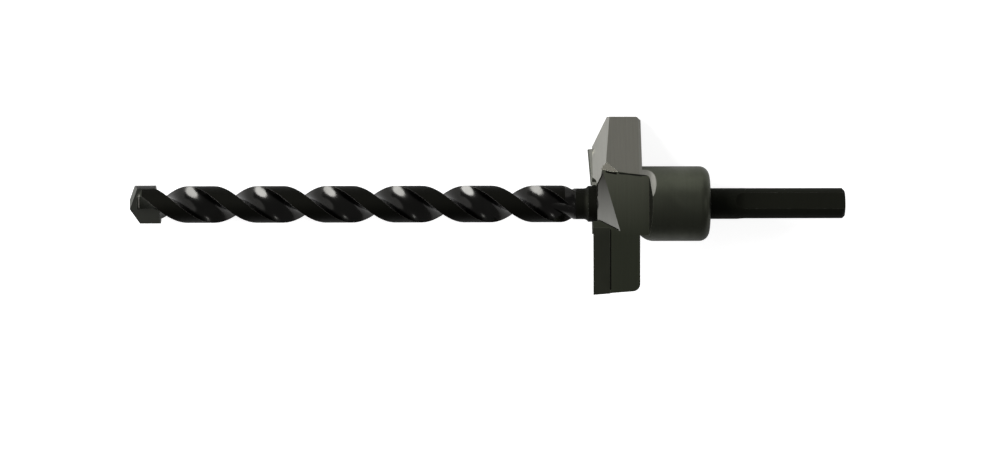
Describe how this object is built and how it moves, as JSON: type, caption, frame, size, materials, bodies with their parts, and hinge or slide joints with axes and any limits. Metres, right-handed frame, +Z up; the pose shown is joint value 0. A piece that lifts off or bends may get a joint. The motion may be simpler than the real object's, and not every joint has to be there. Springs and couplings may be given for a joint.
{
  "type": "counterbore bit",
  "caption": "Counterbore bit: a twist drill with a carbide tip guides a steel cutter head with two flat wings, held on the plain shank by a set screw.",
  "frame": {"origin": "bottom centre of the bounding box, on the ground that the tool lies on", "axes": "+X along the tool from the drill's point to the shank's end, seen from above, +Z up"},
  "size_m": [0.2501, 0.0598, 0.0269],
  "materials": {
    "drill_steel": "gloss black oxide",
    "carbide": "ground grey carbide",
    "head_steel": "dark satin, some faces ground",
    "insert_carbide": "ground grey carbide",
    "screw_steel": "black oxide"
  },
  "bodies": {
    "root": {"pilot_drill": "drill_steel", "carbide_tip": "carbide", "cutter_head": "head_steel", "outer_insert": "insert_carbide", "inner_insert": "insert_carbide", "set_screw": "screw_steel"}
  },
  "joints": []
}
